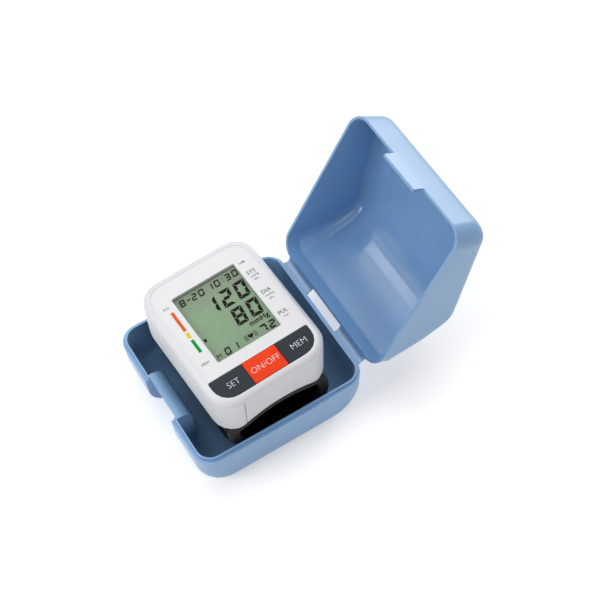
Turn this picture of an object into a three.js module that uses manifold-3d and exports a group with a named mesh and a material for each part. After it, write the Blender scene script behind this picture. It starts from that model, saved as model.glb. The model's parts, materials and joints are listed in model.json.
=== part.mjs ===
// Wrist blood pressure monitor resting in its hinged plastic storage case, lid open.
// Millimetres, +Z up, origin at the middle of the case tray's flat underside.
// +X runs towards the case hinge and is the reading direction of the display, +Y is the display's up direction.
import * as THREE from 'three';
import { mergeVertices } from 'three/addons/utils/BufferGeometryUtils.js';
import Module from 'manifold-3d';

const wasm = await Module();
wasm.setup();

// Clearances
const FIT = 0.25; // between fixed pieces that seat on each other
const RUN = 0.35; // beside pieces that move
const EPS = 1; // overrun of a cutting body past the face that it cuts

// Case tray
const TRAY_INNER_W = 90.5; // inside of the rim lip, latch to hinge
const TRAY_INNER_L = 85.6; // inside of the rim lip, along the hinge
const TRAY_DEPTH = 31; // underside to the top of the lip
const TRAY_WALL = 2.6;
const TRAY_LATCH_ROUND = 17; // between floor and latch wall
const TRAY_HINGE_ROUND = 20; // between floor and hinge wall
const TRAY_DRAFT = 2; // degrees
const LIP_HEIGHT = 2;
const CASE_CORNER = 10; // upright corners, outside
const CASE_EDGE = 6; // between the end walls and the floor or lid top, outside

// Case lid, measured from the hinge axis
const LID_WALL = 1.4;
const LID_BACK_FOOT = 9; // height of the upright part of the hinge wall
const LID_PEAK_FROM_HINGE = 29.5;
const LID_PEAK = 42.8; // height of the ridge above the lid's rim
const LID_TOP_SLOPE = 0.315; // fall of the top towards the latch
const LID_BACK_BULGE = 3.2; // swelling of the sloping back
const LID_BACK_ROUND = 60;
const LID_RIDGE_ROUND = 16;
const LID_LATCH_ROUND = 10;
const LID_DRAFT = 2; // degrees
const LID_OPEN = 120.3; // degrees from closed

// Hinge of the case
const HINGE_OUT = 5; // axis beyond the inside of the tray's lip
const HINGE_GAP = 27; // gap between the two strips
const HINGE_STRIP = 22.5; // length of each strip
const HINGE_FLANGE = 1.4; // thickness of the flanges
const HINGE_WEB = 0.8; // radius of the thin bending web

// Latch of the case
const LATCH_W = 26.4; // opening in the tray wall
const LATCH_IN = 11.2; // reach of the rolled wall behind it
const LATCH_ROLL = 7; // rounding of that wall's top
const LATCH_LEAN = 0.3; // inward lean of the finger scoop under it
const LATCH_LAND = 0.8; // height of the edge that holds the tongue
const LATCH_WALL = 1.5;
const TONGUE_W = 25;
const TONGUE_REACH = 6.2; // past the lid's rim
const TONGUE_THICK = 1.6;
const TONGUE_ROOT = 1; // overlap with the lid's wall

// Monitor, in its own frame: z = 0 on the face, x and y from the middle of the face
const FACE_W = 64;
const FACE_L = 80.4;
const FACE_CORNER = 12;
const FACE_EDGE = 3; // rounding between face and sides
const BODY_DEPTH = 27.5;
const BODY_DRAFT = 1; // degrees
const BODY_WALL = 1.8;
const ARCH_HALF = 22; // half width of the wrist arch
const ARCH_RISE = 5.5;
const FACE_ABOVE_LIP = 35.4; // as it stands on its springy cuff with the lid open
const MONITOR_X = -1.3;
const MONITOR_Y = 0.9;
const MONITOR_YAW = 2.55; // degrees, as it lies in the tray

// Face panel, display and keys
const PANEL_BORDER = 4;
const PANEL_THICK = 0.7;
const PANEL_SUNK = 0.15;
const TOP_WALL = 2;
const LCD_X = -0.3;
const LCD_SIDE = 13.75; // face beside the visible window
const LCD_TOP = 13.7; // face above it
const LCD_KEY_GAP = 7.1; // between window and key strip
const LCD_UNDER = 1.3; // rim of the glass hidden under the face
const LCD_THICK = 1.8;
const WINDOW_THICK = 1.2;
const WINDOW_SUNK = 0.5;
const KEYS_X = -0.6;
const KEYS_SIDE = 4; // face beside the key strip
const KEYS_END = 3.5; // face below it
const KEYS_L = 12.9;
const POWER_W = 18.9;
const KEY_GAP = 0.3;
const KEY_CORNER = 9; // outer lower corners of the strip
const KEY_PROUD = 0.15;
const KEY_FLANGE = 0.8;
const KEY_FLANGE_REACH = 0.9;
const KEY_TRAVEL = 0.8;
const KEY_STEM_R = 1.6;
const SWITCH_SIZE = 6;
const SWITCH_H = 3.4;
const SWITCH_KNOB_R = 1.7;
const SWITCH_KNOB_H = 0.8;

// Inside of the monitor
const BOARD_TOP = 9.8; // below the face
const BOARD_THICK = 1.6;
const BOARD_END = 4.7; // between board and the ends of the face
const BOARD_BAY_GAP = 1.65;
const BOARD_PUMP_GAP = 0.8;
const BOARD_POST_R = 1.6;
const HOLDER_INSET = 1; // display holder inside the board's sides
const HOLDER_WALL = 2;
const HOLDER_TOP = 1.2;
const STRIP_SLOT = 3.2; // slot for the display's contact strip
const STRIP_EDGE = 1.4;
const STRIP_INSET = 3;
const BOSS_R = 2;
const SCREW_R = 0.9;
const SCREW_HEAD_R = 1.7;
const SCREW_HEAD_H = 1.4;
const SCREW_LENGTH = 7;
const SCREW_PAD = 1; // rise of the pads round the screw holes
const SCREW_FLOOR = 1; // thickness under the screw head
const BOSS_FROM_SIDE = 8;
const BOSS_FROM_END = 8.4;
const BOSS_BAY_GAP = 1.05;
const BATTERY_R = 5.2;
const BATTERY_LENGTH = 44.5;
const BATTERY_NUB_R = 1.9;
const BATTERY_NUB = 1;
const BATTERY_SIDE = 1.3; // between cell and body wall
const BATTERY_PITCH = 10.8;
const CONTACT_THICK = 0.5;
const CONTACT_W = 6;
const SPRING_LENGTH = 1.6;
const BULKHEAD = 1.2;
const COVER_REACH = 13; // battery cover, from the left side of the body
const COVER_TOP = 4.6; // seam below the face
const SEAM = 0.3;
const PUMP_R = 6;
const PUMP_SIDE = 2.8; // between pump and body wall
const PUMP_Y = 2;
const MOTOR_LENGTH = 20;
const PUMP_HEAD_LENGTH = 11;
const VALVE_R = 3.6;
const VALVE_LENGTH = 15;
const VALVE_X = -5.6;
const VALVE_Y = -8;
const SENSOR_SIZE = 7.2;
const SENSOR_H = 4.4;
const SENSOR_X = 6;
const SENSOR_Y = -20;
const BUZZER_R = 4.8;
const BUZZER_H = 2.6;
const TUBE_R = 1.6;
const MANIFOLD_H = 5;
const MANIFOLD_HALF_W = 6;
const MANIFOLD_HALF_L = 4;
const OUTLET_Y = 6; // air outlet to the cuff

// Cuff
const CUFF_LENGTH = 76.4; // along the wrist
const CUFF_LEFT = 29.8; // side towards the latch
const CUFF_RIGHT = 28; // shoulder towards the hinge
const CUFF_LEAN = 6.2; // lean of the loop towards the hinge, down to the floor
const CUFF_SHOULDER = 6.2;
const CUFF_LOWER_ROUND = 18;
const CUFF_PLATE = 1.2;
const CUFF_PLATE_INSET = 3; // inside the edges of the wrist arch
const CUFF_OUTER = 1.5; // outer fabric
const CUFF_BLADDER = 1.8;
const CUFF_LINING = 1.3;
const TAIL_THICK = 1.7; // overlapping end of the strap
const TAIL_W = 60;
const TAIL_END = 12; // under the loop, past its middle
const TAIL_UP = 12; // up the latch side

// Places that follow from the sizes above
const LIP_THICK = TRAY_WALL - LID_WALL - RUN; // stands inside the closed lid's wall
const LEDGE_Z = TRAY_DEPTH - LIP_HEIGHT;
const OUTER_HALF_W = TRAY_INNER_W / 2 + TRAY_WALL;
const OUTER_HALF_L = TRAY_INNER_L / 2 + TRAY_WALL;
const HINGE_X = TRAY_INNER_W / 2 + HINGE_OUT;
const HINGE_Z = LEDGE_Z;
const FACE_Z = TRAY_DEPTH + FACE_ABOVE_LIP;
const ARCH_R = (ARCH_HALF ** 2 + ARCH_RISE ** 2) / (2 * ARCH_RISE);
const ARCH_CENTRE = -BODY_DEPTH + ARCH_RISE - ARCH_R;
const CUFF_FLOOR = TRAY_WALL + FIT - FACE_Z;
const LCD_W = FACE_W - 2 * LCD_SIDE;
const LCD_L = FACE_L - LCD_TOP - LCD_KEY_GAP - KEYS_L - KEYS_END;
const LCD_Y = FACE_L / 2 - LCD_TOP - LCD_L / 2;
const KEYS_W = FACE_W - 2 * KEYS_SIDE;
const KEYS_TOP_Y = -FACE_L / 2 + KEYS_END + KEYS_L;
const BATTERY_X = -FACE_W / 2 + BODY_WALL + BATTERY_SIDE + BATTERY_R;
const BAY_Y = KEYS_TOP_Y + KEY_FLANGE_REACH + RUN + BATTERY_LENGTH / 2;
const BAY_X1 = BATTERY_X + BATTERY_R + FIT + BULKHEAD;
const PUMP_X = FACE_W / 2 - BODY_WALL - PUMP_SIDE - PUMP_R;
const BOARD_X0 = BAY_X1 + BOARD_BAY_GAP;
const BOARD_X1 = PUMP_X - PUMP_R - BOARD_PUMP_GAP;
const BOARD_L = FACE_L - 2 * BOARD_END;
const BOSS_RIGHT_X = FACE_W / 2 - BOSS_FROM_SIDE;
const BOSS_LEFT_X = BAY_X1 + BOSS_BAY_GAP + BOSS_R;
const BOSS_FAR_Y = FACE_L / 2 - BOSS_FROM_END;

const rad = THREE.MathUtils.degToRad;
const v2 = (x, y) => new THREE.Vector2(x, y);

// Solid helpers
function solid(geometry) {
  const bare = geometry.clone();
  for (const name of Object.keys(bare.attributes)) {
    if (name !== 'position') bare.deleteAttribute(name);
  }
  const merged = mergeVertices(bare, 1e-4);
  return new wasm.Manifold(new wasm.Mesh({
    numProp: 3,
    vertProperties: new Float32Array(merged.attributes.position.array),
    triVerts: new Uint32Array(merged.index.array),
  }));
}

function geometryOf(body) {
  const mesh = body.getMesh();
  const geometry = new THREE.BufferGeometry();
  geometry.setAttribute('position', new THREE.BufferAttribute(new Float32Array(mesh.vertProperties), 3));
  geometry.setIndex(new THREE.BufferAttribute(new Uint32Array(mesh.triVerts), 1));
  return geometry;
}

function box(x0, x1, y0, y1, z0, z1) {
  const geometry = new THREE.BoxGeometry(x1 - x0, y1 - y0, z1 - z0);
  return solid(geometry.translate((x0 + x1) / 2, (y0 + y1) / 2, (z0 + z1) / 2));
}

// Upright prism of a plan outline between two heights
function prism(points, z0, z1) {
  const geometry = new THREE.ExtrudeGeometry(new THREE.Shape(points), { depth: z1 - z0, bevelEnabled: false });
  return solid(geometry.translate(0, 0, z0));
}

// Prism along Y of an outline drawn in x and z
function sweepY(points, y0, y1, holes = []) {
  const shape = new THREE.Shape(points);
  shape.holes = holes.map((hole) => new THREE.Path(hole));
  const geometry = new THREE.ExtrudeGeometry(shape, { depth: y1 - y0, bevelEnabled: false });
  return solid(geometry.rotateX(Math.PI / 2).translate(0, y1, 0));
}

function cylinderZ(radius, x, y, z0, z1, sides = 20) {
  const geometry = new THREE.CylinderGeometry(radius, radius, z1 - z0, sides);
  return solid(geometry.rotateX(Math.PI / 2).translate(x, y, (z0 + z1) / 2));
}

function cylinderY(radius, x, z, y0, y1, sides = 20) {
  const geometry = new THREE.CylinderGeometry(radius, radius, y1 - y0, sides);
  return solid(geometry.translate(x, (y0 + y1) / 2, z));
}

// Revolved body about an axis along Y, from radius and y pairs that start and end on the axis
function latheY(profile, x, y0, z, sides = 18) {
  const geometry = new THREE.LatheGeometry(profile.map(([r, y]) => v2(r, y)), sides);
  return solid(geometry.translate(x, y0, z));
}

function roundedRect(halfW, halfL, radii, steps = 5) {
  const [right, top, left, bottom] = [halfW, halfL, -halfW, -halfL];
  const corners = [
    [right, top, radii[0], 0],
    [left, top, radii[1], 1],
    [left, bottom, radii[2], 2],
    [right, bottom, radii[3], 3],
  ];
  const points = [];
  for (const [x, y, r, quarter] of corners) {
    const cx = x - Math.sign(x) * r;
    const cy = y - Math.sign(y) * r;
    const count = r > 0 ? steps : 0;
    for (let i = 0; i <= count; i += 1) {
      const angle = ((quarter + (count ? i / count : 0.5)) * Math.PI) / 2;
      points.push(v2(cx + r * Math.cos(angle), cy + r * Math.sin(angle)));
    }
  }
  return points;
}

const shifted = (points, dx, dy) => points.map((p) => v2(p.x + dx, p.y + dy));

// Moves each point of a closed, counterclockwise outline inwards along its mean normal
function inset(points, distance) {
  return points.map((p, i) => {
    const before = points[(i + points.length - 1) % points.length];
    const after = points[(i + 1) % points.length];
    const a = v2(p.x - before.x, p.y - before.y).normalize();
    const b = v2(after.x - p.x, after.y - p.y).normalize();
    const normal = v2(-(a.y + b.y), a.x + b.x).normalize();
    const stretch = 1 / Math.max(0.5, -normal.x * b.y + normal.y * b.x);
    return v2(p.x + normal.x * distance * stretch, p.y + normal.y * distance * stretch);
  });
}

// Closed body through rings of equal point counts, with fanned end caps
function loft(rings) {
  const count = rings[0].length;
  const positions = [];
  const index = [];
  for (const ring of rings) {
    for (const p of ring) positions.push(p.x, p.y, p.z);
  }
  for (let r = 0; r + 1 < rings.length; r += 1) {
    for (let i = 0; i < count; i += 1) {
      const a = r * count + i;
      const b = r * count + ((i + 1) % count);
      index.push(a, b, a + count, b, b + count, a + count);
    }
  }
  const ends = [rings[0], rings[rings.length - 1]];
  ends.forEach((ring, end) => {
    const middle = new THREE.Vector3();
    ring.forEach((p) => middle.add(p));
    middle.divideScalar(count);
    const hub = positions.length / 3;
    positions.push(middle.x, middle.y, middle.z);
    const first = end === 0 ? 0 : (rings.length - 1) * count;
    for (let i = 0; i < count; i += 1) {
      const a = first + i;
      const b = first + ((i + 1) % count);
      if (end === 0) index.push(hub, b, a);
      else index.push(hub, a, b);
    }
  });
  const geometry = new THREE.BufferGeometry();
  geometry.setAttribute('position', new THREE.Float32BufferAttribute(positions, 3));
  geometry.setIndex(index);
  return solid(geometry);
}

// Outline with its corners rounded by arcs: entries are x, y and a radius
function rounded(corners, steps = 6) {
  const points = [];
  corners.forEach(([x, y, r], i) => {
    const p = v2(x, y);
    if (!r) {
      points.push(p);
      return;
    }
    const before = corners[(i + corners.length - 1) % corners.length];
    const after = corners[(i + 1) % corners.length];
    const a = v2(before[0] - x, before[1] - y).normalize();
    const b = v2(after[0] - x, after[1] - y).normalize();
    const half = Math.acos(THREE.MathUtils.clamp(a.dot(b), -1, 1)) / 2;
    const bisector = v2(a.x + b.x, a.y + b.y).normalize();
    const centre = v2(x + (bisector.x * r) / Math.sin(half), y + (bisector.y * r) / Math.sin(half));
    const reach = r / Math.tan(half);
    const start = Math.atan2(y + a.y * reach - centre.y, x + a.x * reach - centre.x);
    let turn = Math.atan2(y + b.y * reach - centre.y, x + b.x * reach - centre.x) - start;
    turn -= 2 * Math.PI * Math.round(turn / (2 * Math.PI));
    for (let k = 0; k <= steps; k += 1) {
      const angle = start + (turn * k) / steps;
      points.push(v2(centre.x + r * Math.cos(angle), centre.y + r * Math.sin(angle)));
    }
  });
  return points;
}

// Case half: its profile in x and z is lofted along Y and drawn in at the ends, more at the upright walls
// (corner) than over the floor or top (edge), with the end walls leaning in by the draft away from the rim.
function caseHalf(profile, halfL, corner, edge, draft, rim, depth) {
  const lowX = Math.min(...profile.map((p) => p.x));
  const highX = Math.max(...profile.map((p) => p.x));
  const spread = (highX - lowX) / 2;
  const normals = inset(profile, 1).map((q, i) => v2(q.x - profile[i].x, q.y - profile[i].y));
  const stations = [];
  const steps = 6;
  for (let k = 0; k <= steps; k += 1) stations.push(1 - Math.sin(((k / steps) * Math.PI) / 2));
  const rings = [];
  const ringAt = (side, t) => profile.map((p, i) => {
    const upright = Math.min(1, Math.abs(normals[i].x));
    const radius = edge + (corner - edge) * upright * upright;
    const away = Math.abs(p.y - rim) / depth;
    const end = halfL - away * depth * Math.tan(draft);
    const y = side * (end - radius * t);
    const drawn = radius * (1 - Math.sqrt(Math.max(0, 1 - (1 - t) ** 2)));
    const keep = Math.abs(p.y - rim) < 1e-6 ? 0 : 1;
    const x = p.x + Math.sign(normals[i].x) * Math.min(spread, Math.abs(normals[i].x) * drawn);
    return new THREE.Vector3(x, y, p.y + normals[i].y * drawn * keep);
  });
  for (let k = steps; k >= 0; k -= 1) rings.push(ringAt(1, stations[k]));
  for (let k = 0; k <= steps; k += 1) rings.push(ringAt(-1, stations[k]));
  return loft(rings);
}

const materials = {
  caseBlue: { color: 0x7fa6d6, roughness: 0.42, metalness: 0 },
  white: { color: 0xeeeef2, roughness: 0.4, metalness: 0 },
  panel: { color: 0xf2f2f5, roughness: 0.5, metalness: 0 },
  window: { color: 0xdfe8e2, roughness: 0.08, metalness: 0, transparent: true, opacity: 0.3 },
  lcd: { color: 0x8fa98b, roughness: 0.25, metalness: 0 },
  darkKey: { color: 0x3a4048, roughness: 0.45, metalness: 0 },
  redKey: { color: 0xfa4214, roughness: 0.45, metalness: 0 },
  black: { color: 0x1c1c1e, roughness: 0.6, metalness: 0 },
  fabric: { color: 0x141416, roughness: 0.95, metalness: 0 },
  lining: { color: 0x222226, roughness: 0.95, metalness: 0 },
  bladder: { color: 0x3c3c40, roughness: 0.6, metalness: 0 },
  board: { color: 0x1f5f3a, roughness: 0.6, metalness: 0 },
  steel: { color: 0xb8bcc2, roughness: 0.3, metalness: 1 },
  holder: { color: 0xd8d8d6, roughness: 0.55, metalness: 0 },
  cell: { color: 0x2f3136, roughness: 0.35, metalness: 0.2 },
  silicone: { color: 0xe4e2da, roughness: 0.5, metalness: 0 },
};

function node(name, body, material) {
  const mesh = new THREE.Mesh(geometryOf(body), new THREE.MeshStandardMaterial(materials[material]));
  mesh.name = name;
  return mesh;
}

// Case tray
const trayDraft = Math.tan(rad(TRAY_DRAFT));
function trayProfile(offset, top) {
  const lean = TRAY_DEPTH * trayDraft;
  const half = OUTER_HALF_W - offset;
  const floor = offset;
  const above = (top - LEDGE_Z) * trayDraft;
  return rounded([
    [-half - above, top, 0],
    [-half + lean, floor, TRAY_LATCH_ROUND - offset],
    [half - lean, floor, TRAY_HINGE_ROUND - offset],
    [half + above, top, 0],
  ]);
}

function trayBody(offset, top) {
  return caseHalf(
    trayProfile(offset, top),
    OUTER_HALF_L - offset + (top - LEDGE_Z) * trayDraft,
    CASE_CORNER - offset,
    CASE_EDGE - offset,
    rad(TRAY_DRAFT),
    top,
    top - offset,
  );
}

const lipOutline = (grow) => roundedRect(
  TRAY_INNER_W / 2 + grow,
  TRAY_INNER_L / 2 + grow,
  Array(4).fill(CASE_CORNER - TRAY_WALL + grow),
  6,
);
const latchEdge = -TRAY_INNER_W / 2;
const rollFront = -OUTER_HALF_W + LATCH_IN;
const scoopBack = rollFront - LATCH_WALL;
const scoopTop = TRAY_DEPTH - LATCH_LAND;
const latchRoll = sweepY(
  rounded([
    [-OUTER_HALF_W, 0, 0],
    [rollFront, 0, 0],
    [rollFront, TRAY_DEPTH, LATCH_ROLL],
    [-OUTER_HALF_W, TRAY_DEPTH, 0],
  ]),
  -LATCH_W / 2 - LATCH_WALL,
  LATCH_W / 2 + LATCH_WALL,
);
const latchScoop = sweepY(
  [
    v2(latchEdge, TRAY_DEPTH + EPS),
    v2(-OUTER_HALF_W - EPS, TRAY_DEPTH + EPS),
    v2(-OUTER_HALF_W - EPS, -EPS),
    v2(scoopBack, -EPS),
    v2(scoopBack, scoopTop - (scoopBack - latchEdge) / LATCH_LEAN),
    v2(latchEdge, scoopTop),
  ],
  -LATCH_W / 2,
  LATCH_W / 2,
);
const stripStart = HINGE_GAP / 2;
const stripEnd = stripStart + HINGE_STRIP;
let tray = trayBody(0, LEDGE_Z);
tray = tray.add(prism(lipOutline(LIP_THICK), LEDGE_Z - EPS, TRAY_DEPTH));
tray = tray.subtract(trayBody(TRAY_WALL, TRAY_DEPTH + EPS).subtract(latchRoll));
tray = tray.subtract(latchScoop);
for (const side of [-1, 1]) {
  const ends = [side * stripStart, side * stripEnd].sort((a, b) => a - b);
  tray = tray.add(box(
    OUTER_HALF_W - EPS, HINGE_X - HINGE_WEB - RUN, ends[0], ends[1], HINGE_Z - HINGE_FLANGE - RUN, HINGE_Z - RUN,
  ));
}

// Case lid, drawn closed with the hinge axis at the origin and the latch towards -X
const lidBack = HINGE_X - OUTER_HALF_W;
const lidFront = HINGE_X + OUTER_HALF_W;
const lidRim = RUN;
const lidDraft = Math.tan(rad(LID_DRAFT));
function lidProfile(offset, rim) {
  const topAt = (w) => LID_PEAK - offset * Math.hypot(1, LID_TOP_SLOPE) - LID_TOP_SLOPE * (w - LID_PEAK_FROM_HINGE);
  const frontW = lidFront - offset;
  const frontTop = frontW - topAt(frontW) * lidDraft;
  const rise = (LID_PEAK - LID_BACK_FOOT) / (LID_PEAK_FROM_HINGE - lidBack);
  const footW = lidBack + offset;
  const footV = LID_BACK_FOOT + offset * (rise - Math.hypot(1, rise));
  const peakW = (topAt(0) - footV + rise * footW) / (rise + LID_TOP_SLOPE);
  const below = (lidRim - rim) * lidDraft;
  const backV = topAt(peakW) - footV;
  const backL = Math.hypot(peakW - footW, backV);
  const swellW = (footW + peakW) / 2 - (LID_BACK_BULGE * backV) / backL;
  const swellV = footV + backV / 2 + (LID_BACK_BULGE * (peakW - footW)) / backL;
  return rounded([
    [-frontW - below, rim, 0],
    [-footW, rim, 0],
    [-footW, footV, LID_BACK_FOOT / 2],
    [-swellW, swellV, LID_BACK_ROUND],
    [-peakW, topAt(peakW), LID_RIDGE_ROUND - offset],
    [-frontTop, topAt(frontTop), LID_LATCH_ROUND - offset],
  ]);
}

function lidBody(offset, rim) {
  return caseHalf(
    lidProfile(offset, rim),
    OUTER_HALF_L - offset + (lidRim - rim) * lidDraft,
    CASE_CORNER - offset,
    CASE_EDGE - offset,
    rad(LID_DRAFT),
    rim,
    LID_PEAK - rim - offset,
  );
}

const tongueOut = -lidFront;
let lid = lidBody(0, lidRim).subtract(lidBody(LID_WALL, lidRim - EPS));
lid = lid.add(box(
  tongueOut, tongueOut + TONGUE_THICK, -TONGUE_W / 2, TONGUE_W / 2, -TONGUE_REACH, lidRim + TONGUE_ROOT,
));
const beadReach = TRAY_WALL - RUN;
lid = lid.add(sweepY(
  [
    v2(tongueOut + TONGUE_THICK / 2, -TONGUE_REACH),
    v2(-lidFront + beadReach, -TONGUE_REACH + TONGUE_THICK / 2),
    v2(tongueOut + TONGUE_THICK / 2, -TONGUE_REACH + TONGUE_THICK),
  ],
  -TONGUE_W / 2 + TONGUE_THICK,
  TONGUE_W / 2 - TONGUE_THICK,
));
for (const side of [-1, 1]) {
  const ends = [side * stripStart, side * stripEnd].sort((a, b) => a - b);
  lid = lid.add(box(-lidBack - EPS, -HINGE_WEB - RUN, ends[0], ends[1], lidRim, lidRim + HINGE_FLANGE));
}

// Monitor housing
const bodyLean = Math.tan(rad(BODY_DRAFT));
const plan = (offset, z) => {
  const drawn = offset + Math.max(0, -z - FACE_EDGE) * bodyLean;
  return roundedRect(FACE_W / 2 - drawn, FACE_L / 2 - drawn, Array(4).fill(FACE_CORNER - drawn), 5);
};
const ring = (points, z) => points.map((p) => new THREE.Vector3(p.x, p.y, z));
function bodyLoft(offset, top, edge, bottom) {
  const rings = [ring(plan(offset, -bottom), -bottom)];
  const steps = 4;
  for (let i = 0; i <= steps; i += 1) {
    const angle = ((i / steps) * Math.PI) / 2;
    const z = -top - edge * (1 - Math.sin(angle));
    const pulled = edge * (1 - Math.cos(angle));
    rings.push(ring(roundedRect(
      FACE_W / 2 - offset - pulled,
      FACE_L / 2 - offset - pulled,
      Array(4).fill(FACE_CORNER - offset - pulled),
      5,
    ), z));
  }
  return loft(rings);
}

// Underside of the body at x: flat feet beside the wrist arch
function archOutline(lift, halfW, floor, sides = 16) {
  const points = [];
  for (let i = 0; i <= sides; i += 1) {
    const x = ARCH_HALF * (1 - (2 * i) / sides);
    points.push(v2(x, ARCH_CENTRE + Math.sqrt(ARCH_R ** 2 - x ** 2) + lift));
  }
  return [v2(halfW, floor), v2(halfW, -BODY_DEPTH + lift), ...points, v2(-halfW, -BODY_DEPTH + lift), v2(-halfW, floor)];
}

const archCut = sweepY(archOutline(0, FACE_W, -2 * BODY_DEPTH), -FACE_L, FACE_L);
const shellOuter = bodyLoft(0, 0, FACE_EDGE, BODY_DEPTH + EPS);
const shellInner = bodyLoft(BODY_WALL, TOP_WALL, FACE_EDGE - BODY_WALL, BODY_DEPTH + 2 * EPS);
const shell = shellOuter.subtract(shellInner).subtract(archCut);
const coverEdge = -FACE_W / 2 + COVER_REACH;
const coverZone = (slack) => box(-FACE_W, coverEdge - slack, -FACE_L, FACE_L, -2 * BODY_DEPTH, -COVER_TOP - slack);
const batteryCover = shell.intersect(coverZone(SEAM / 2));

const bossNearY = (KEYS_TOP_Y + KEY_FLANGE_REACH + LCD_Y - LCD_L / 2 - LCD_UNDER) / 2;
const bossPlaces = [
  [BOSS_RIGHT_X, BOSS_FAR_Y],
  [BOSS_RIGHT_X, bossNearY],
  [BOSS_LEFT_X, BOSS_FAR_Y],
  [BOSS_LEFT_X, bossNearY],
];
const plateTopAt = (x) => ARCH_CENTRE + Math.sqrt(ARCH_R ** 2 - x ** 2) + BODY_WALL;
// Height of the axis of a round piece that lies along Y on the arched plate
const restOnPlate = (x, r) => ARCH_CENTRE + BODY_WALL + Math.sqrt((ARCH_R + r + FIT) ** 2 - x ** 2);
// The same over the whole underside: on the arch, or on the flat feet beside it
const restOnFloor = (x, r) => Math.max(restOnPlate(x, r), -BODY_DEPTH + BODY_WALL + FIT + r);
const padR = SCREW_HEAD_R + FIT + 1;
const padTop = (x) => plateTopAt(Math.abs(x) - padR) + SCREW_PAD;
const screwSeat = (x) => padTop(x) - SCREW_FLOOR;
const bossFoot = (x) => padTop(x) + FIT;
const lcdHole = shifted(roundedRect(LCD_W / 2, LCD_L / 2, [1, 1, 1, 1], 3), LCD_X, LCD_Y);
const keysY = KEYS_TOP_Y - KEYS_L / 2;
const keyHole = (grow) => shifted(
  roundedRect(
    KEYS_W / 2 + grow, KEYS_L / 2 + grow, [0.6 + grow, 0.6 + grow, KEY_CORNER + grow, KEY_CORNER + grow], 5,
  ),
  KEYS_X,
  keysY,
);
const panelOutline = (grow) => roundedRect(
  FACE_W / 2 - PANEL_BORDER + grow,
  FACE_L / 2 - PANEL_BORDER + grow,
  Array(4).fill(FACE_CORNER - PANEL_BORDER + grow),
  5,
);
// The face panel ends at the key strip
const aboveKeys = (slack) => box(-FACE_W, FACE_W, KEYS_TOP_Y + RUN - slack, FACE_L, -BODY_DEPTH, 2 * EPS);
const recessFloor = -PANEL_SUNK - PANEL_THICK - FIT;

let topHousing = shell.subtract(coverZone(-SEAM / 2));
for (const [x, y] of bossPlaces) {
  const foot = bossFoot(x);
  topHousing = topHousing.add(cylinderZ(BOSS_R, x, y, foot, -TOP_WALL + EPS / 2, 14));
  topHousing = topHousing.subtract(cylinderZ(SCREW_R + FIT, x, y, foot - EPS, foot + SCREW_LENGTH, 10));
}
topHousing = topHousing.subtract(prism(panelOutline(FIT), recessFloor, EPS).intersect(aboveKeys(FIT)));
topHousing = topHousing.subtract(prism(lcdHole, -TOP_WALL - EPS, EPS));
topHousing = topHousing.subtract(prism(keyHole(RUN), -TOP_WALL - EPS, EPS));

const facePanel = prism(panelOutline(0), -PANEL_SUNK - PANEL_THICK, -PANEL_SUNK)
  .intersect(aboveKeys(0))
  .subtract(prism(lcdHole, -TOP_WALL, EPS));

// Bottom housing: arched plate with the battery bay, screw holes and an air outlet for the cuff
const battLow = restOnFloor(BATTERY_X, BATTERY_R);
const battHigh = battLow + BATTERY_PITCH;
const bayEnd = BATTERY_LENGTH / 2 + SPRING_LENGTH + CONTACT_THICK + 2 * FIT;
const bayTop = battHigh + BATTERY_R * 0.4;
const innerPlan = roundedRect(
  FACE_W / 2 - BODY_WALL - FIT - BODY_DEPTH * bodyLean,
  FACE_L / 2 - BODY_WALL - FIT - BODY_DEPTH * bodyLean,
  Array(4).fill(FACE_CORNER - BODY_WALL - FIT),
  5,
);
const plateBand = [
  ...archOutline(0, FACE_W, -BODY_DEPTH).slice(1, -1).reverse(),
  ...archOutline(BODY_WALL, FACE_W, -BODY_DEPTH).slice(1, -1),
];
const insideBody = prism(innerPlan, -2 * BODY_DEPTH, 0);
let bottomHousing = sweepY(plateBand, -FACE_L, FACE_L).intersect(insideBody);
const underPlate = sweepY(archOutline(BODY_WALL / 2, FACE_W, -2 * BODY_DEPTH), -FACE_L, FACE_L);
const bayFar = BAY_Y + bayEnd;
const bayNear = BAY_Y - bayEnd;
const bayWalls = box(BAY_X1 - BULKHEAD, BAY_X1, bayNear - BULKHEAD, bayFar + BULKHEAD, -BODY_DEPTH, bayTop)
  .add(box(BATTERY_X - BATTERY_R, BAY_X1, bayFar, bayFar + BULKHEAD, -BODY_DEPTH, bayTop))
  .add(box(BATTERY_X - BATTERY_R, BAY_X1, bayNear - BULKHEAD, bayNear, -BODY_DEPTH, bayTop));
bottomHousing = bottomHousing.add(bayWalls.subtract(underPlate).intersect(insideBody));
const boardFloor = -BOARD_TOP - BOARD_THICK;
for (const y of [-BOARD_L / 2 + 9, BOARD_L / 2 - 9]) {
  for (const x of [BOARD_X0 + 4, BOARD_X1 - 4]) {
    const post = cylinderZ(BOARD_POST_R, x, y, -BODY_DEPTH, boardFloor - FIT, 10);
    bottomHousing = bottomHousing.add(post.subtract(underPlate));
  }
}
for (const [x, y] of bossPlaces) {
  const pad = cylinderZ(padR, x, y, -BODY_DEPTH, padTop(x), 14);
  bottomHousing = bottomHousing.add(pad.subtract(underPlate));
  bottomHousing = bottomHousing.subtract(cylinderZ(SCREW_R + FIT, x, y, -2 * BODY_DEPTH, 0, 10));
  bottomHousing = bottomHousing.subtract(cylinderZ(SCREW_HEAD_R + FIT, x, y, -2 * BODY_DEPTH, screwSeat(x), 12));
}
bottomHousing = bottomHousing.subtract(cylinderZ(TUBE_R + FIT, 0, OUTLET_Y, -2 * BODY_DEPTH, 0, 12));

const monitorNodes = [
  node('top_housing', topHousing, 'white'),
  node('bottom_housing', bottomHousing, 'white'),
  node('face_panel', facePanel, 'panel'),
];
const coverNode = node('battery_cover', batteryCover, 'white');

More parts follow.
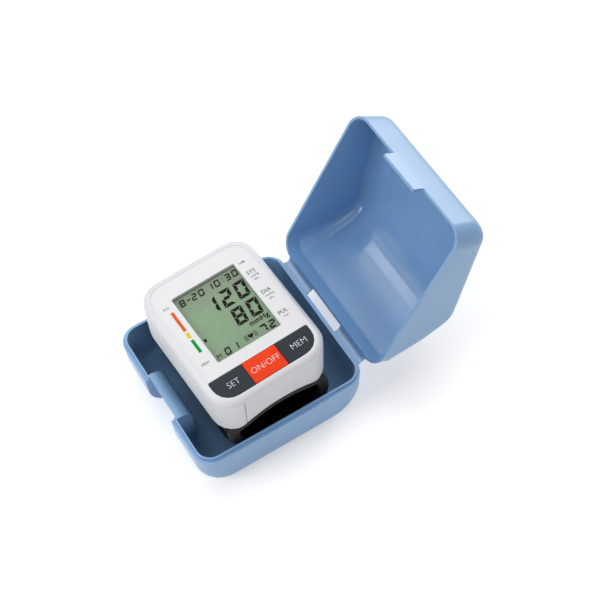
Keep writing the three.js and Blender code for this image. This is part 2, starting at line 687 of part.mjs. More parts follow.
bossPlaces.forEach(([x, y], i) => {
  const seat = screwSeat(x) - FIT;
  const screw = cylinderZ(SCREW_R, x, y, seat - EPS / 2, seat + SCREW_LENGTH - EPS, 10)
    .add(cylinderZ(SCREW_HEAD_R, x, y, seat - SCREW_HEAD_H, seat, 12));
  monitorNodes.push(node(`housing_screw_${i + 1}`, screw, 'steel'));
});

// Display stack
const windowOutline = shifted(roundedRect(LCD_W / 2 - FIT, LCD_L / 2 - FIT, [0.8, 0.8, 0.8, 0.8], 3), LCD_X, LCD_Y);
monitorNodes.push(node('display_window', prism(windowOutline, -WINDOW_SUNK - WINDOW_THICK, -WINDOW_SUNK), 'window'));
const glassHalfW = LCD_W / 2 + LCD_UNDER;
const glassHalfL = LCD_L / 2 + LCD_UNDER;
const glassTop = -TOP_WALL - FIT;
const glassLow = glassTop - LCD_THICK;
monitorNodes.push(node('lcd_glass', box(
  LCD_X - glassHalfW, LCD_X + glassHalfW, LCD_Y - glassHalfL, LCD_Y + glassHalfL, glassLow, glassTop,
), 'lcd'));
const holderTop = glassLow - FIT;
const holderLow = -BOARD_TOP + FIT;
const holderX0 = BOARD_X0 + HOLDER_INSET;
const holderX1 = BOARD_X1 - HOLDER_INSET;
const holderNear = LCD_Y - glassHalfL;
const holderFar = LCD_Y + glassHalfL;
const stripNear = holderNear + STRIP_EDGE;
const stripFar = stripNear + STRIP_SLOT;
const holder = box(holderX0, holderX1, holderNear, holderFar, holderLow, holderTop).subtract(box(
  holderX0 + HOLDER_WALL, holderX1 - HOLDER_WALL, stripFar + STRIP_EDGE, holderFar - HOLDER_WALL,
  holderLow - EPS, holderTop - HOLDER_TOP,
));
const stripBox = (slack, low, high) => box(
  holderX0 + STRIP_INSET + slack, holderX1 - STRIP_INSET - slack, stripNear + slack, stripFar - slack, low, high,
);
monitorNodes.push(node('lcd_holder', holder.subtract(stripBox(0, holderLow - EPS, holderTop + EPS)), 'holder'));
monitorNodes.push(node('lcd_connector', stripBox(FIT, holderLow, holderTop), 'silicone'));

// Keys and their switches
const keyBounds = [
  ['key_set', KEYS_X - KEYS_W / 2, KEYS_X - POWER_W / 2, 'darkKey'],
  ['key_power', KEYS_X - POWER_W / 2, KEYS_X + POWER_W / 2, 'redKey'],
  ['key_memory', KEYS_X + POWER_W / 2, KEYS_X + KEYS_W / 2, 'darkKey'],
];
const switchTop = -BOARD_TOP + FIT + SWITCH_H + SWITCH_KNOB_H;
const keyNodes = keyBounds.map(([name, x0, x1, material]) => {
  const from = name === 'key_set' ? x0 - KEY_FLANGE_REACH - RUN : x0 + KEY_GAP / 2;
  const to = name === 'key_memory' ? x1 + KEY_FLANGE_REACH + RUN : x1 - KEY_GAP / 2;
  const zone = box(from, to, keysY - KEYS_L, keysY + KEYS_L, -BOARD_TOP, EPS);
  const flangeTop = -TOP_WALL - FIT;
  const cap = prism(keyHole(0), flangeTop - EPS / 4, KEY_PROUD);
  const flange = prism(keyHole(KEY_FLANGE_REACH), flangeTop - KEY_FLANGE, flangeTop);
  const stem = cylinderZ(KEY_STEM_R, (x0 + x1) / 2, keysY, switchTop + KEY_TRAVEL + FIT, flangeTop - KEY_FLANGE / 2, 12);
  return node(name, cap.add(flange).intersect(zone).add(stem), material);
});
keyBounds.forEach(([name, x0, x1]) => {
  const x = (x0 + x1) / 2;
  const base = -BOARD_TOP + FIT;
  const half = SWITCH_SIZE / 2;
  const body = box(x - half, x + half, keysY - half, keysY + half, base, base + SWITCH_H)
    .add(cylinderZ(SWITCH_KNOB_R, x, keysY, base + SWITCH_H - EPS / 2, switchTop, 12));
  monitorNodes.push(node(name.replace('key', 'switch'), body, 'black'));
});

// Circuit board, wider under the keys so that it carries all three switches
const keyBoardY = Math.min(keysY + SWITCH_SIZE / 2 + 0.5, bayNear - BULKHEAD - FIT);
let board = box(BOARD_X0, BOARD_X1, -BOARD_L / 2, BOARD_L / 2, boardFloor, -BOARD_TOP)
  .add(box(
    keyBounds[0][1] + SWITCH_SIZE - 1, keyBounds[2][2] - SWITCH_SIZE + 1,
    keysY - SWITCH_SIZE / 2 - 0.5, keyBoardY, boardFloor, -BOARD_TOP,
  ));
for (const [x, y] of bossPlaces) {
  board = board.subtract(cylinderZ(BOSS_R + FIT, x, y, boardFloor - EPS, -BOARD_TOP + EPS, 14));
}
monitorNodes.push(node('main_board', board, 'board'));

// Batteries, springs and contacts
const cellProfile = (turned) => {
  const half = BATTERY_LENGTH / 2;
  const points = [
    [0, -half], [BATTERY_R - 0.4, -half], [BATTERY_R, -half + 0.4], [BATTERY_R, half - BATTERY_NUB - 0.4],
    [BATTERY_R - 0.4, half - BATTERY_NUB], [BATTERY_NUB_R, half - BATTERY_NUB], [BATTERY_NUB_R, half], [0, half],
  ];
  return turned ? points.map(([r, y]) => [r, -y]).reverse() : points;
};
[['upper', battHigh, false], ['lower', battLow, true]].forEach(([label, z, turned]) => {
  monitorNodes.push(node(`battery_${label}`, latheY(cellProfile(turned), BATTERY_X, BAY_Y, z), 'cell'));
  const side = turned ? 1 : -1;
  const start = BATTERY_LENGTH / 2 + FIT;
  const spring = [[0, start], [1.7, start], [3, start + SPRING_LENGTH - FIT], [0, start + SPRING_LENGTH - FIT]];
  const facing = side > 0 ? spring : spring.map(([r, y]) => [r, -y]).reverse();
  monitorNodes.push(node(`battery_spring_${label}`, latheY(facing, BATTERY_X, BAY_Y, z, 12), 'steel'));
});
for (const side of [-1, 1]) {
  const ends = [bayEnd - FIT - CONTACT_THICK, bayEnd - FIT].map((y) => BAY_Y + side * y).sort((a, b) => a - b);
  const plate = box(
    BATTERY_X - CONTACT_W / 2, BATTERY_X + CONTACT_W / 2, ends[0], ends[1], battLow - BATTERY_R * 0.6, battHigh + 1.5,
  );
  monitorNodes.push(node(side > 0 ? 'battery_contact_far' : 'battery_contact_near', plate, 'steel'));
}

// Air pump along the right side, with its motor behind it
const pumpZ = restOnFloor(PUMP_X, PUMP_R);
monitorNodes.push(node('pump_head', cylinderY(
  PUMP_R, PUMP_X, pumpZ, PUMP_Y - PUMP_HEAD_LENGTH, PUMP_Y,
).add(cylinderY(TUBE_R, PUMP_X, pumpZ + 2, PUMP_Y - PUMP_HEAD_LENGTH - 3, PUMP_Y - EPS, 12)), 'black'));
monitorNodes.push(node('pump_motor', cylinderY(
  PUMP_R - 0.4, PUMP_X, pumpZ - 0.4, PUMP_Y + FIT, PUMP_Y + FIT + MOTOR_LENGTH,
), 'steel'));

// Release valve, pressure sensor, manifold, tube and buzzer
const underBoard = boardFloor - FIT;
monitorNodes.push(node('release_valve', cylinderY(
  VALVE_R, VALVE_X, underBoard - VALVE_R, VALVE_Y - VALVE_LENGTH, VALVE_Y,
), 'steel'));
monitorNodes.push(node('pressure_sensor', box(
  SENSOR_X, SENSOR_X + SENSOR_SIZE, SENSOR_Y, SENSOR_Y + SENSOR_SIZE, underBoard - SENSOR_H, underBoard,
), 'black'));
const manifoldFloor = plateTopAt(0) + FIT;
monitorNodes.push(node('air_manifold', box(
  -MANIFOLD_HALF_W, MANIFOLD_HALF_W, OUTLET_Y - MANIFOLD_HALF_L, OUTLET_Y + MANIFOLD_HALF_L,
  manifoldFloor, manifoldFloor + MANIFOLD_H,
).add(cylinderZ(TUBE_R, 0, OUTLET_Y, plateTopAt(0) - BODY_WALL - 0.4, manifoldFloor + EPS, 12)), 'holder'));
monitorNodes.push(node('buzzer', cylinderZ(
  BUZZER_R, 2, -BOARD_L / 2 + BUZZER_R + 0.6, underBoard - BUZZER_H, underBoard, 16,
), 'black'));

// Cuff plate under the arch, then the wrist loop in three layers
const cuffCentre = ARCH_CENTRE;
const plateR = ARCH_R - FIT;
function arcBand(radius, thick, halfW, sides = 14) {
  const upper = [];
  const lower = [];
  for (let i = 0; i <= sides; i += 1) {
    const x = halfW * (1 - (2 * i) / sides);
    upper.push(v2(x, cuffCentre + Math.sqrt(radius ** 2 - x ** 2)));
    lower.push(v2(x, cuffCentre + Math.sqrt((radius - thick) ** 2 - x ** 2)));
  }
  return [...upper, ...lower.reverse()];
}
const plateHalfL = CUFF_LENGTH / 2 - CUFF_PLATE_INSET;
let cuffPlate = sweepY(arcBand(plateR, CUFF_PLATE, ARCH_HALF - CUFF_PLATE_INSET), -plateHalfL, plateHalfL);
cuffPlate = cuffPlate.subtract(cylinderZ(TUBE_R + FIT, 0, OUTLET_Y, -2 * BODY_DEPTH, 0, 12));
monitorNodes.push(node('cuff_plate', cuffPlate, 'black'));

const loopR = plateR - CUFF_PLATE - FIT;
const loopFloor = CUFF_FLOOR + TAIL_THICK + FIT;
function loopOutline() {
  const topX = ARCH_HALF - 2;
  const points = [];
  for (let i = 0; i <= 12; i += 1) {
    const x = topX * (1 - i / 6);
    points.push(v2(x, cuffCentre + Math.sqrt(loopR ** 2 - x ** 2)));
  }
  const shoulderZ = Math.min(points[0].y, -BODY_DEPTH - FIT);
  const corners = rounded([
    [-topX, points[12].y, 0],
    [-CUFF_LEFT, shoulderZ - 1, CUFF_SHOULDER],
    [-CUFF_LEFT + CUFF_LEAN, loopFloor, CUFF_LOWER_ROUND],
    [CUFF_RIGHT + CUFF_LEAN, loopFloor, CUFF_LOWER_ROUND],
    [CUFF_RIGHT, shoulderZ - 1, CUFF_SHOULDER],
    [topX, points[0].y, 0],
  ]);
  return [...points.slice(0, -1), ...corners.slice(0, -1)];
}
const loop = loopOutline();
const layer = (from, thick, y0, y1) => sweepY(inset(loop, from), y0, y1, [inset(loop, from + thick).reverse()]);
const halfCuff = CUFF_LENGTH / 2;
const bladderFrom = CUFF_OUTER + FIT;
const liningFrom = bladderFrom + CUFF_BLADDER + FIT;
monitorNodes.push(node('cuff_outer', layer(0, CUFF_OUTER, -halfCuff, halfCuff), 'fabric'));
monitorNodes.push(node('cuff_bladder', layer(bladderFrom, CUFF_BLADDER, -halfCuff + 2, halfCuff - 2), 'bladder'));
monitorNodes.push(node('cuff_lining', layer(liningFrom, CUFF_LINING, -halfCuff, halfCuff), 'lining'));

// Overlapping end of the strap: the part of a layer round the loop that runs up the latch side
const tailRing = sweepY(inset(loop, -FIT - TAIL_THICK), -TAIL_W / 2, TAIL_W / 2, [inset(loop, -FIT).reverse()]);
const tailZone = box(-2 * CUFF_LEFT, TAIL_END, -CUFF_LENGTH, CUFF_LENGTH, -4 * BODY_DEPTH, loopFloor + TAIL_UP);
monitorNodes.push(node('strap_tail', tailRing.intersect(tailZone), 'fabric'));

// Assembly
const part = new THREE.Group();
part.add(node('case_tray', tray, 'caseBlue'));

const lidGroup = new THREE.Group();
lidGroup.position.set(HINGE_X, 0, HINGE_Z);
lidGroup.rotation.y = rad(LID_OPEN);
lidGroup.add(node('case_lid', lid, 'caseBlue'));
part.add(lidGroup);

for (const [name, side] of [['hinge_web_near', -1], ['hinge_web_far', 1]]) {
  const ends = [side * stripStart, side * stripEnd].sort((a, b) => a - b);
  part.add(node(name, cylinderY(HINGE_WEB, HINGE_X, HINGE_Z, ends[0], ends[1], 12), 'caseBlue'));
}

const monitor = new THREE.Group();
monitor.position.set(MONITOR_X, MONITOR_Y, FACE_Z);
monitor.rotation.z = rad(MONITOR_YAW);
monitor.add(...monitorNodes, ...keyNodes, coverNode);
part.add(monitor);

export default part;
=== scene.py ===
import json
import math

import bmesh
import bpy
from mathutils import Matrix, Quaternion, Vector
from mathutils import noise as stir


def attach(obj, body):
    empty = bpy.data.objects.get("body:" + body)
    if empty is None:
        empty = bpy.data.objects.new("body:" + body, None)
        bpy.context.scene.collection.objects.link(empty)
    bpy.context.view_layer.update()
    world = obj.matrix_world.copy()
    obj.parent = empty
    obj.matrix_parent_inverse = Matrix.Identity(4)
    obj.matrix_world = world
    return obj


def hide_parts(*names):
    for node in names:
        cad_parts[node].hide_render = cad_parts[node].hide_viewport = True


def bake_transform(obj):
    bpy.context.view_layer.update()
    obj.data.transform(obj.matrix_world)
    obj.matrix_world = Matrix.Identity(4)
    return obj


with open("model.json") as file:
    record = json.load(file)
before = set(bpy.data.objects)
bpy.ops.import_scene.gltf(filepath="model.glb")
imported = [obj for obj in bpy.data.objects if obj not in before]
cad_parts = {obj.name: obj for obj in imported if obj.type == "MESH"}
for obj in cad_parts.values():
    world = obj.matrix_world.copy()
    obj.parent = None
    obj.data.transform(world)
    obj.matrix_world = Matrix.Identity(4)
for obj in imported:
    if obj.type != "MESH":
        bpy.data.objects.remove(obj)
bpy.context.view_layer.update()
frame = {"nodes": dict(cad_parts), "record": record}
NODES = frame["nodes"]
MM = 0.001


# Shader nodes
def new_material(name):
    material = bpy.data.materials.new(name)
    material.use_nodes = True
    tree = material.node_tree
    return material, tree, tree.nodes["Principled BSDF"]


def add_node(tree, kind, **values):
    made = tree.nodes.new(kind)
    for key, value in values.items():
        if hasattr(made, key):
            setattr(made, key, value)
        else:
            made.inputs[key.replace("_", " ")].default_value = value
    return made


def coords(tree, kind="Object"):
    return add_node(tree, "ShaderNodeTexCoord").outputs[kind]


def axis_of(tree, vector, axis):
    parts = add_node(tree, "ShaderNodeSeparateXYZ")
    tree.links.new(vector, parts.inputs[0])
    return parts.outputs[axis]


def combine(tree, operation, first, second):
    made = add_node(tree, "ShaderNodeMath", operation=operation)
    tree.links.new(first, made.inputs[0])
    tree.links.new(second, made.inputs[1])
    return made.outputs[0]


def noise(tree, scale, detail=3.0):
    made = add_node(tree, "ShaderNodeTexNoise", Scale=scale, Detail=detail)
    tree.links.new(coords(tree), made.inputs["Vector"])
    return made.outputs["Fac"]


def ramp(tree, factor, first, last):
    made = add_node(tree, "ShaderNodeValToRGB")
    for element, (position, colour) in zip(made.color_ramp.elements, (first, last)):
        element.position = position
        element.color = (*colour, 1.0)
    tree.links.new(factor, made.inputs["Fac"])
    return made.outputs["Color"]


# Takes start to low and end to high
def span(tree, factor, low, high, start=0.0, end=1.0):
    made = add_node(
        tree, "ShaderNodeMapRange", From_Min=start, From_Max=end, To_Min=low, To_Max=high
    )
    tree.links.new(factor, made.inputs["Value"])
    return made.outputs["Result"]


def bump(tree, height, strength, distance):
    made = add_node(tree, "ShaderNodeBump", Strength=strength, Distance=distance)
    tree.links.new(height, made.inputs["Height"])
    return made.outputs["Normal"]


def shade(colour, part):
    return tuple(min(1.0, c * part) for c in colour)


# Moulded plastic: a fine grain, and slow changes of tone and of gloss
TONE_SCALE, TONE_DETAIL = 55.0, 2.0
GRAIN_SCALE, GRAIN_DETAIL, GRAIN_DEPTH = 2600.0, 4.0, 0.0002
GLOSS_SPREAD = 0.04
# A roughness for the inside holds on faces that look along -X, as in the open lid
INNER_FACING, OUTER_FACING = -0.24, -0.1


def plastic(name, colour, rough, grain, tone, specular=0.5, metal=0.0, inside=None):
    material, tree, shader = new_material(name)
    slow = noise(tree, TONE_SCALE, TONE_DETAIL)
    base = ramp(tree, slow, (0.3, shade(colour, 1 - tone)), (0.7, shade(colour, 1 + tone)))
    if inside is None:
        gloss = span(tree, slow, rough - GLOSS_SPREAD, rough + GLOSS_SPREAD)
    else:
        facing = axis_of(tree, coords(tree, "Normal"), "X")
        gloss = span(tree, facing, inside, rough, INNER_FACING, OUTER_FACING)
    fine = noise(tree, GRAIN_SCALE, GRAIN_DETAIL)
    tree.links.new(base, shader.inputs["Base Color"])
    tree.links.new(gloss, shader.inputs["Roughness"])
    tree.links.new(bump(tree, fine, grain, GRAIN_DEPTH), shader.inputs["Normal"])
    shader.inputs["Specular IOR Level"].default_value = specular
    shader.inputs["Metallic"].default_value = metal
    return material


CASE_BLUE = (0.21, 0.388, 0.638)
KEY_SHINE = 0.12
INK_SHINE = 0.1
CASE = plastic("case_polypropylene", CASE_BLUE, 0.32, grain=0.05, tone=0.03)
LID = plastic("lid_polypropylene", CASE_BLUE, 0.32, grain=0.03, tone=0.03, inside=0.09)
HINGE = plastic("case_hinge_web", (0.36, 0.49, 0.69), 0.4, grain=0.05, tone=0.04)
WHITE = plastic("white_housing", (0.73, 0.737, 0.762), 0.42, grain=0.08, tone=0.015)
PANEL = plastic("white_face_sheet", (0.755, 0.758, 0.77), 0.34, grain=0.03, tone=0.01)
DARK_KEY = plastic(
    "dark_key", (0.031, 0.038, 0.049), 0.55, grain=0.08, tone=0.06, specular=KEY_SHINE
)
RED_KEY = plastic("red_key", (0.90, 0.055, 0.009), 0.55, grain=0.08, tone=0.03, specular=KEY_SHINE)
BLACK = plastic("black_plastic", (0.02, 0.02, 0.022), 0.45, grain=0.1, tone=0.1)
NATURAL = plastic("natural_plastic", (0.62, 0.61, 0.57), 0.5, grain=0.06, tone=0.05)
STEEL = plastic("plated_steel", (0.55, 0.56, 0.58), 0.3, grain=0.05, tone=0.06, metal=1.0)
BOARD = plastic("green_board", (0.02, 0.13, 0.055), 0.4, grain=0.1, tone=0.1)
CELL = plastic("cell_wrap", (0.05, 0.05, 0.06), 0.35, grain=0.03, tone=0.1)
SILICONE = plastic("silicone", (0.72, 0.7, 0.63), 0.6, grain=0.05, tone=0.05)
INK = plastic("grey_print", (0.06, 0.064, 0.072), 0.6, grain=0.02, tone=0.05, specular=INK_SHINE)
WHITE_INK = plastic("white_print", (0.85, 0.86, 0.88), 0.55, grain=0.02, tone=0.02)
RED_INK = plastic("red_print", (0.80, 0.11, 0.02), 0.55, grain=0.02, tone=0.03, specular=INK_SHINE)
YELLOW_INK = plastic(
    "yellow_print", (0.78, 0.57, 0.014), 0.55, grain=0.02, tone=0.03, specular=INK_SHINE
)
GREEN_INK = plastic(
    "green_print", (0.004, 0.30, 0.05), 0.55, grain=0.02, tone=0.03, specular=INK_SHINE
)
SEGMENT = plastic("lcd_segment", (0.009, 0.006, 0.004), 0.45, grain=0.01, tone=0.1, specular=0.06)


# Display glass: grey-green, darkened towards its far edge by painted shade
LCD_NEAR, LCD_SHADED_FAR = (0.272, 0.395, 0.254), (0.26, 0.308, 0.225)
LCD_SHADE_FROM, LCD_SHADE_TO = 0.012, 0.030
LCD_SMEAR, LCD_ROUGH = 400.0, (0.22, 0.32)


def lcd_glass():
    material, tree, shader = new_material("lcd_glass")
    along = axis_of(tree, coords(tree), "Y")
    # Painted shade: over this band of y the glass turns to the darker far colour
    painted_shade = span(tree, along, 0.0, 1.0, LCD_SHADE_FROM, LCD_SHADE_TO)
    base = ramp(tree, painted_shade, (0.0, LCD_NEAR), (1.0, LCD_SHADED_FAR))
    tree.links.new(base, shader.inputs["Base Color"])
    gloss = span(tree, noise(tree, LCD_SMEAR), *LCD_ROUGH)
    tree.links.new(gloss, shader.inputs["Roughness"])
    shader.inputs["Specular IOR Level"].default_value = 0.15
    return material


# Clear window: nearly invisible, with a gloss that varies a little
WINDOW_TINT = (0.04, 0.045, 0.04, 1.0)
WINDOW_SMEAR, WINDOW_ROUGH = 300.0, (0.05, 0.12)


def clear_window():
    material, tree, shader = new_material("clear_window")
    shader.inputs["Base Color"].default_value = WINDOW_TINT
    shader.inputs["Alpha"].default_value = 0.03
    shader.inputs["Specular IOR Level"].default_value = 0.06
    gloss = span(tree, noise(tree, WINDOW_SMEAR), *WINDOW_ROUGH)
    tree.links.new(gloss, shader.inputs["Roughness"])
    return material


# Woven nylon: crossed thread waves and fuzz lift the surface and change the tone
FUZZ_SCALE, FUZZ_DETAIL, FUZZ_SPREAD = 900.0, 4.0, 0.06
WEAVE_LIFT = 0.6
WEAVE_DARK, WEAVE_LIGHT = 0.55, 1.5


def weave(name, colour, thread, rough, sheen, depth):
    material, tree, shader = new_material(name)
    place = coords(tree)
    waves = []
    for direction in ("X", "Y", "Z"):
        wave = add_node(
            tree, "ShaderNodeTexWave", Scale=1.0 / thread, Distortion=0.4, Detail=1.0
        )
        wave.bands_direction = direction
        tree.links.new(place, wave.inputs["Vector"])
        waves.append(wave.outputs["Fac"])
    crossed = combine(tree, "MULTIPLY", waves[0], waves[1])
    threads = combine(tree, "MAXIMUM", crossed, waves[2])
    fuzz = noise(tree, FUZZ_SCALE, FUZZ_DETAIL)
    height = combine(tree, "ADD", threads, fuzz)
    tone = ramp(tree, height, (0.3, shade(colour, WEAVE_DARK)), (1.0, shade(colour, WEAVE_LIGHT)))
    gloss = span(tree, fuzz, rough - FUZZ_SPREAD, rough + FUZZ_SPREAD)
    tree.links.new(tone, shader.inputs["Base Color"])
    tree.links.new(bump(tree, height, WEAVE_LIFT, depth), shader.inputs["Normal"])
    tree.links.new(gloss, shader.inputs["Roughness"])
    shader.inputs["Sheen Weight"].default_value = sheen
    shader.inputs["Sheen Roughness"].default_value = 0.45
    shader.inputs["Specular IOR Level"].default_value = 0.12
    return material


LCD = lcd_glass()
WINDOW = clear_window()
# Thread width, roughness, sheen and depth, with lengths in metres
CLOTH = weave("cuff_nylon", (0.008, 0.008, 0.0095), 0.0011, 0.75, 0.08, 0.00012)
LINING = weave("cuff_lining_pile", (0.006, 0.006, 0.007), 0.0016, 0.9, 0.05, 0.0002)
TAPE = weave("cuff_tape", (0.022, 0.020, 0.019), 0.0007, 0.6, 0.12, 0.00008)
THREAD = plastic("cuff_thread", (0.05, 0.05, 0.055), 0.6, grain=0.1, tone=0.1)

LOOKS = {
    "case_blue": CASE, "white_abs": WHITE, "panel_white": PANEL, "clear_window": WINDOW,
    "lcd": LCD, "frame_plastic": NATURAL, "silicone": SILICONE, "black_plastic": BLACK,
    "board": BOARD, "cell": CELL, "steel": STEEL, "bladder": BLACK, "cuff_fabric": CLOTH,
    "key_dark": DARK_KEY, "key_red": RED_KEY,
}
SLOT_OF = {s["node"]: s["material_slot"] for s in frame["record"]["subparts"]}

# Soft edges and smooth shading on a CAD node, by modifiers alone. Widths are in millimetres.
WELD_REACH = 2e-6  # metres
FLAT_ANGLE = math.radians(0.4)
EDGE_ANGLE = math.radians(33.0)
EDGE_STEPS = 2
NORMAL_WEIGHT = 80
EDGE_WIDTHS = {
    "case_tray": 0.4, "case_lid": 0.35, "top_housing": 0.2, "face_panel": 0.08,
    "display_window": 0.08, "battery_cover": 0.15,
    "key_set": 0.12, "key_power": 0.12, "key_memory": 0.12,
}


def dress(node):
    obj = NODES[node]
    mesh = obj.data
    if "custom_normal" in mesh.attributes:
        mesh.attributes.remove(mesh.attributes["custom_normal"])
    for polygon in mesh.polygons:
        polygon.use_smooth = True
    for slot in range(len(mesh.materials)):
        mesh.materials[slot] = LID if node == "case_lid" else LOOKS[SLOT_OF[node]]
    weld = obj.modifiers.new("weld", "WELD")
    weld.merge_threshold = WELD_REACH
    if node in EDGE_WIDTHS:
        flat = obj.modifiers.new("flat", "DECIMATE")
        flat.decimate_type = "DISSOLVE"
        flat.angle_limit = FLAT_ANGLE
        edge = obj.modifiers.new("edge", "BEVEL")
        edge.width = EDGE_WIDTHS[node] * MM
        edge.segments = EDGE_STEPS
        edge.limit_method = "ANGLE"
        edge.angle_limit = EDGE_ANGLE
        edge.use_clamp_overlap = True
        edge.miter_outer = "MITER_ARC"
    normals = obj.modifiers.new("normals", "WEIGHTED_NORMAL")
    normals.weight = NORMAL_WEIGHT
    normals.keep_sharp = False


for name in NODES:
    dress(name)

# Monitor frame: millimetres, z = 0 on the face, x and y from the middle of the face
FACE_X, FACE_Y, FACE_HEIGHT = -1.3, 0.9, 66.4
FACE_TURN = math.radians(2.55)
FACE_MIDDLE = Vector((FACE_X, FACE_Y, FACE_HEIGHT)) * MM
MONITOR = Matrix.Translation(FACE_MIDDLE) @ Matrix.Rotation(FACE_TURN, 4, "Z")
# The case stands straight in the shared frame
CASE_FRAME = Matrix.Identity(4)


# Points are in millimetres
def make_mesh(name, points, faces, material, smooth=True, place=MONITOR):
    mesh = bpy.data.meshes.new(name)
    mesh.from_pydata([place @ (Vector(p) * MM) for p in points], [], faces)
    mesh.validate()
    for polygon in mesh.polygons:
        polygon.use_smooth = smooth
    mesh.materials.append(material)
    obj = bpy.data.objects.new(name, mesh)
    bpy.context.scene.collection.objects.link(obj)
    return obj


# Turns all faces outwards, after joining points that lie closer than merge, in metres
def face_outwards(mesh, merge=0.0):
    form = bmesh.new()
    form.from_mesh(mesh)
    if merge:
        bmesh.ops.remove_doubles(form, verts=form.verts, dist=merge)
    bmesh.ops.recalc_face_normals(form, faces=form.faces)
    form.to_mesh(mesh)
    form.free()


# Faces between rings of points that follow each other, as a loop or with both ends closed
def tube_faces(rings, size, base=0, loop=False):
    faces = []
    for r in range(rings if loop else rings - 1):
        here, there = base + r * size, base + (r + 1) % rings * size
        for i in range(size):
            j = (i + 1) % size
            faces.append([here + i, here + j, there + j, there + i])
    if not loop:
        last = base + (rings - 1) * size
        faces.append([base + i for i in reversed(range(size))])
        faces.append([last + i for i in range(size)])
    return faces


# Thin printed or cut shapes: plan polygons raised by a small thickness
class Plates:
    def __init__(self, z, thick):
        self.z, self.high = z, z + thick
        self.points, self.faces = [], []

    def add(self, outline):
        count = len(outline)
        base = len(self.points)
        self.points += [(x, y, self.z) for x, y in outline]
        self.points += [(x, y, self.high) for x, y in outline]
        self.faces += tube_faces(2, count, base)

    def rect(self, x0, x1, y0, y1):
        self.add([(x0, y0), (x1, y0), (x1, y1), (x0, y1)])

    def ribbon(self, outer, inner):
        base = len(self.points)
        for (ox, oy), (ix, iy) in zip(outer, inner):
            self.points += [
                (ox, oy, self.z), (ix, iy, self.z), (ix, iy, self.high), (ox, oy, self.high),
            ]
        self.faces += tube_faces(len(outer), 4, base)

    def build(self, name, material, body, slot):
        obj = make_mesh(name, self.points, self.faces, material, False)
        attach(obj, body)


# Seven-segment numbers, drawn with mitred bars and a lean
SEGMENTS = {
    "0": "abcdef", "1": "bc", "2": "abged", "3": "abgcd", "7": "abc", "8": "abcdefg", "-": "g",
}
LEAN = 0.12
BAR_GAP = 0.1  # share of a bar's thickness


def bar_outlines(w, h, t, g):
    m = h / 2
    k = t / 2
    return {
        "a": [(g, h), (w - g, h), (w - t - g, h - t), (t + g, h - t)],
        "b": [(w, h - g), (w, m + g), (w - k, m + g / 2), (w - t, m + k + g), (w - t, h - t - g)],
        "c": [(w, m - g), (w, g), (w - t, t + g), (w - t, m - k - g), (w - k, m - g / 2)],
        "d": [(t + g, t), (w - t - g, t), (w - g, 0), (g, 0)],
        "e": [(0, m - g), (k, m - g / 2), (t, m - k - g), (t, t + g), (0, g)],
        "f": [(0, h - g), (t, h - t - g), (t, m + k + g), (k, m + g / 2), (0, m + g)],
        "g": [
            (k + g, m), (t + g, m + k), (w - t - g, m + k),
            (w - k - g, m), (w - t - g, m - k), (t + g, m - k),
        ],
    }


def digits(plates, text, right, middle, height, width, thick, pitch):
    outlines = bar_outlines(width, height, thick, thick * BAR_GAP)
    for i, letter in enumerate(reversed(text)):
        left = right - width - i * pitch
        for key in SEGMENTS[letter]:
            plates.add([
                (left + x + LEAN * (y - height / 2), middle - height / 2 + y)
                for x, y in outlines[key]
            ])


def disc(cx, cy, r, sides=10):
    turns = [2 * math.pi * i / sides for i in range(sides)]
    return [(cx + r * math.cos(a), cy + r * math.sin(a)) for a in turns]


# The usual heart curve, which is 32 units wide
def heart(cx, cy, size, steps=28):
    points = []
    for i in range(steps):
        a = -2 * math.pi * i / steps
        x = 16 * math.sin(a) ** 3
        y = 13 * math.cos(a) - 5 * math.cos(2 * a) - 2 * math.cos(3 * a) - math.cos(4 * a)
        points.append((cx + x * size / 32, cy + y * size / 32))
    return points


def arc_bar(cx, cy, r, thick, start, end, steps=6):
    outer, inner = [], []
    for i in range(steps + 1):
        a = math.radians(start + (end - start) * i / steps)
        outer.append((cx + (r + thick) * math.cos(a), cy + (r + thick) * math.sin(a)))
        inner.append((cx + r * math.cos(a), cy + r * math.sin(a)))
    return outer + inner[::-1]


# Lettering as flat meshes, several words in one piece
FONT_CAP = 0.729  # height of a capital per unit of size
WORD_SEAM = 1e-5


class Words:
    def __init__(self, z, thick):
        self.z, self.thick = z, thick
        self.made = []

    def add(self, text, x, y, cap, weight=0.0, wide=1.0, align="CENTER"):
        curve = bpy.data.curves.new("words", "FONT")
        curve.body = text
        curve.size = 1.0
        curve.align_x = align
        curve.offset = weight
        curve.resolution_u = 3
        curve.fill_mode = "FRONT"
        source = bpy.data.objects.new("words", curve)
        bpy.context.scene.collection.objects.link(source)
        bpy.context.view_layer.update()
        graph = bpy.context.evaluated_depsgraph_get()
        mesh = bpy.data.meshes.new_from_object(source.evaluated_get(graph))
        bpy.data.objects.remove(source)
        bpy.data.curves.remove(curve)
        scale = cap / FONT_CAP
        points = [
            (x + v.co.x * scale * wide, y - cap / 2 + v.co.y * scale) for v in mesh.vertices
        ]
        self.made.append((points, [tuple(p.vertices) for p in mesh.polygons]))
        bpy.data.meshes.remove(mesh)

    def build(self, name, material, body, slot):
        form = bmesh.new()
        for points, faces in self.made:
            verts = [form.verts.new((x, y, self.z)) for x, y in points]
            for face in faces:
                if len(set(face)) == len(face):
                    form.faces.new([verts[i] for i in face])
        bmesh.ops.remove_doubles(form, verts=form.verts, dist=WORD_SEAM)
        bmesh.ops.recalc_face_normals(form, faces=form.faces)
        raised = bmesh.ops.extrude_face_region(form, geom=list(form.faces))
        for item in raised["geom"]:
            if isinstance(item, bmesh.types.BMVert):
                item.co.z += self.thick
        bmesh.ops.recalc_face_normals(form, faces=form.faces)
        for vert in form.verts:
            vert.co = MONITOR @ (vert.co * MM)
        mesh = bpy.data.meshes.new(name)
        form.to_mesh(mesh)
        form.free()
        mesh.materials.append(material)
        obj = bpy.data.objects.new(name, mesh)
        bpy.context.scene.collection.objects.link(obj)
        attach(obj, body)


